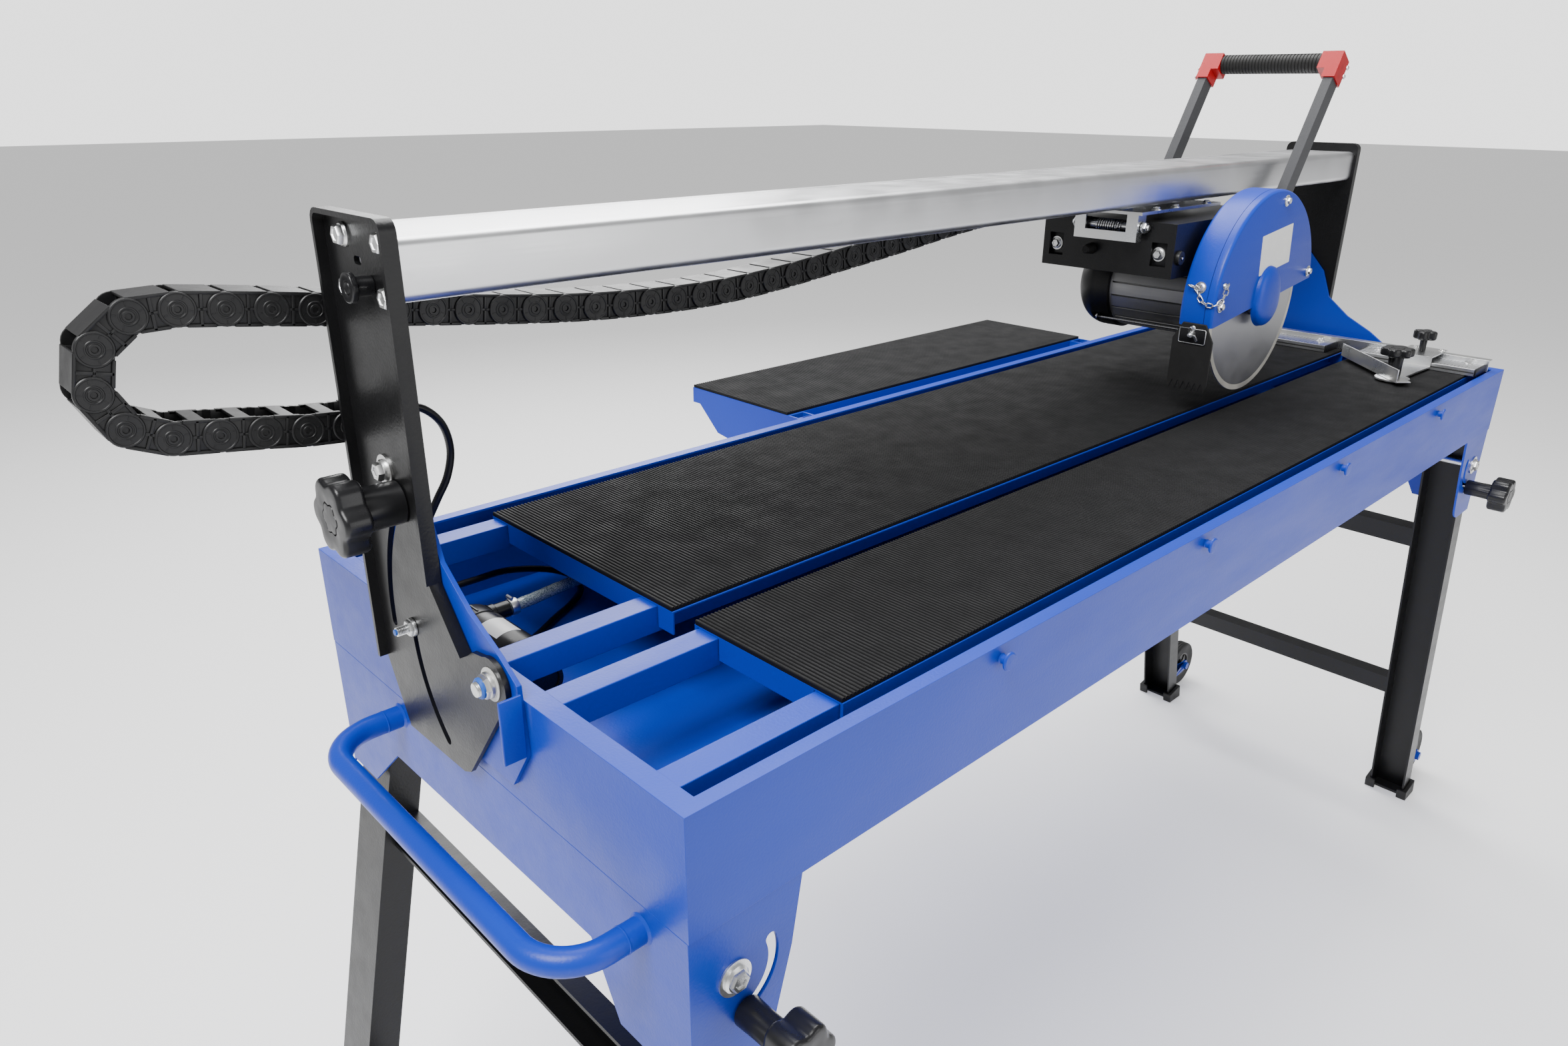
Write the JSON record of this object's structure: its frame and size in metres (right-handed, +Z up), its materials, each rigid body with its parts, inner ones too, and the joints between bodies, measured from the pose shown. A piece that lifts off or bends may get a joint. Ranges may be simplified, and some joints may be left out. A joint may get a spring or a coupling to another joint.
{
  "type": "wet tile bridge saw",
  "caption": "Wet tile saw: long water tub on folding splayed legs, tilting bridge rail with sliding motor head, guarded disc blade, side table and ruler fence.",
  "frame": {"origin": "centre of the bounding box's footprint, on the floor", "axes": "+X along the tub from the lift-handle end to the wheel end, +Y from the operator's side to the side table, +Z up"},
  "size_m": [2.0519, 0.852, 1.3198],
  "materials": {
    "blue_paint": "powder coat, fine orange peel",
    "black_paint": "satin powder coat",
    "aluminium": "satin anodised",
    "motor_grey": "bare finned extrusion",
    "zinc": "bright zinc plate",
    "steel": "ground steel",
    "blade_steel": "brushed disc with a coarse rim",
    "rubber_mat": "ribbed",
    "black_rubber": "matte",
    "black_plastic": "moulded, fine texture",
    "dark_arm": "satin grey paint",
    "red_plastic": "moulded",
    "hose_clear": "clear tube with woven braid",
    "tyre": "matte tread"
  },
  "bodies": {
    "base": {"tub": "blue_paint", "support_bars": "blue_paint", "table_plates": "blue_paint", "mats": "rubber_mat", "pivot_brackets": "blue_paint", "leg_brackets": "blue_paint", "lift_handle": "blue_paint", "hook_studs": "blue_paint", "tilt_pins": "zinc", "leg_pins": "zinc", "pump": "black_plastic", "water_hose": "hose_clear", "hose_tail": "black_plastic", "pump_cable": "black_rubber", "ruler_bars": "aluminium", "ruler_backing": "zinc"},
    "bridge": {"post_near": "black_paint", "post_far": "black_paint", "rail": "aluminium", "rail_bolts": "zinc", "cable_chain": "black_plastic"},
    "bridge_lock": {"lock_knob": "black_plastic"},
    "tilt_clamp_near": {"tilt_knob_near": "black_plastic"},
    "tilt_clamp_far": {"tilt_knob_far": "black_plastic"},
    "carriage": {"carriage_plate": "zinc", "roller_axles": "steel", "plunge_pin": "steel", "plunge_spring": "steel"},
    "rollers_near": {"roller_pair_near": "black_plastic"},
    "rollers_far": {"roller_pair_far": "black_plastic"},
    "head": {"motor_bracket": "black_paint", "motor_housing": "motor_grey", "motor_end_cap": "black_plastic", "motor_tie_rods": "steel", "guard_back": "blue_paint", "guard_front": "blue_paint", "guard_bolts": "zinc", "splash_flap": "black_rubber", "handle_frame": "dark_arm", "handle_corners": "red_plastic", "handle_grip": "black_rubber"},
    "saw": {"blade": "blade_steel", "spindle": "steel"},
    "fence": {"fence_slider": "zinc"},
    "fence_clamp": {"fence_knob": "black_plastic"},
    "mitre_arm": {"angle_bar": "zinc"},
    "mitre_clamp": {"angle_knob": "black_plastic"},
    "side_board": {"side_table": "blue_paint", "side_mat": "rubber_mat"},
    "legs_near": {"leg_frame_near": "black_paint", "feet_near": "black_rubber"},
    "legs_far": {"leg_frame_far": "black_paint", "feet_far": "black_rubber", "wheel_forks": "blue_paint"},
    "front_wheel": {"wheel_front": "tyre"},
    "back_wheel": {"wheel_back": "tyre"},
    "leg_clamp_near_front": {"leg_knob_near_front": "black_plastic"},
    "leg_clamp_near_back": {"leg_knob_near_back": "black_plastic"},
    "leg_clamp_far_front": {"leg_knob_far_front": "black_plastic"},
    "leg_clamp_far_back": {"leg_knob_far_back": "black_plastic"}
  },
  "joints": [
    {"name": "bridge_tilt", "type": "hinge", "parent": "base", "child": "bridge", "pos_m": [-0.837, -0.151, 0.864], "axis": [1, 0, 0], "range_deg": [0, 45], "deforming": ["pump_cable"]},
    {"name": "carriage_slide", "type": "slide", "parent": "bridge", "child": "carriage", "axis": [1, 0, 0], "range_m": [-0.92, 0.1], "deforming": ["cable_chain"]},
    {"name": "head_plunge", "type": "hinge", "parent": "carriage", "child": "head", "pos_m": [0.162, -0.021, 1.1], "axis": [0, 1, 0], "range_deg": [0, 12], "stiffness_Nm_per_rad": 90, "springref_deg": -34.38},
    {"name": "blade_spin", "type": "hinge", "parent": "head", "child": "saw", "pos_m": [0.337, -0.151, 0.997], "axis": [0, 1, 0], "continuous": true},
    {"name": "roller_near_spin", "type": "hinge", "parent": "carriage", "child": "rollers_near", "pos_m": [0.187, -0.021, 1.1423], "axis": [0, 1, 0], "continuous": true},
    {"name": "roller_far_spin", "type": "hinge", "parent": "carriage", "child": "rollers_far", "pos_m": [0.327, -0.021, 1.1423], "axis": [0, 1, 0], "continuous": true},
    {"name": "bridge_lock_turn", "type": "hinge", "parent": "bridge", "child": "bridge_lock", "pos_m": [-0.846, -0.039, 1.1365], "axis": [-1, 0, 0], "continuous": true},
    {"name": "tilt_clamp_near_turn", "type": "hinge", "parent": "base", "child": "tilt_clamp_near", "pos_m": [-0.846, -0.03398, 0.97312], "axis": [-1, 0, 0], "continuous": true},
    {"name": "tilt_clamp_far_turn", "type": "hinge", "parent": "base", "child": "tilt_clamp_far", "pos_m": [0.812, -0.03398, 0.97312], "axis": [1, 0, 0], "continuous": true},
    {"name": "fence_slide", "type": "slide", "parent": "base", "child": "fence", "axis": [0, 1, 0], "range_m": [-0.06, 0.055]},
    {"name": "fence_clamp_turn", "type": "hinge", "parent": "fence", "child": "fence_clamp", "pos_m": [0.747, -0.258, 0.881], "axis": [0, 0, 1], "continuous": true},
    {"name": "mitre_swing", "type": "hinge", "parent": "fence", "child": "mitre_arm", "pos_m": [0.595, -0.269, 0.868], "axis": [0, 0, 1], "range_deg": [0, 45]},
    {"name": "mitre_clamp_turn", "type": "hinge", "parent": "fence", "child": "mitre_clamp", "pos_m": [0.595, -0.269, 0.868], "axis": [0, 0, 1], "continuous": true},
    {"name": "side_table_lift", "type": "slide", "parent": "base", "child": "side_board", "axis": [0, 0, 1], "range_m": [0, 0.06]},
    {"name": "legs_near_fold", "type": "hinge", "parent": "base", "child": "legs_near", "pos_m": [-0.799, -0.086, 0.71], "axis": [0, -1, 0], "range_deg": [0, 95]},
    {"name": "legs_far_fold", "type": "hinge", "parent": "base", "child": "legs_far", "pos_m": [0.765, -0.086, 0.71], "axis": [0, 1, 0], "range_deg": [0, 95]},
    {"name": "wheel_front_spin", "type": "hinge", "parent": "legs_far", "child": "front_wheel", "pos_m": [0.976, -0.329, 0.054], "axis": [0, 1, 0], "continuous": true},
    {"name": "wheel_back_spin", "type": "hinge", "parent": "legs_far", "child": "back_wheel", "pos_m": [0.976, 0.157, 0.054], "axis": [0, 1, 0], "continuous": true},
    {"name": "leg_clamp_near_front_turn", "type": "hinge", "parent": "legs_near", "child": "leg_clamp_near_front", "pos_m": [-0.78968, -0.364, 0.67523], "axis": [0, -1, 0], "continuous": true},
    {"name": "leg_clamp_near_back_turn", "type": "hinge", "parent": "legs_near", "child": "leg_clamp_near_back", "pos_m": [-0.78968, 0.192, 0.67523], "axis": [0, 1, 0], "continuous": true},
    {"name": "leg_clamp_far_front_turn", "type": "hinge", "parent": "legs_far", "child": "leg_clamp_far_front", "pos_m": [0.75568, -0.364, 0.67523], "axis": [0, -1, 0], "continuous": true},
    {"name": "leg_clamp_far_back_turn", "type": "hinge", "parent": "legs_far", "child": "leg_clamp_far_back", "pos_m": [0.75568, 0.192, 0.67523], "axis": [0, 1, 0], "continuous": true}
  ],
  "couplings": [
    {"joint": "roller_near_spin", "follows": "carriage_slide", "rad_per_m": 83.333},
    {"joint": "roller_far_spin", "follows": "carriage_slide", "rad_per_m": 83.333}
  ]
}
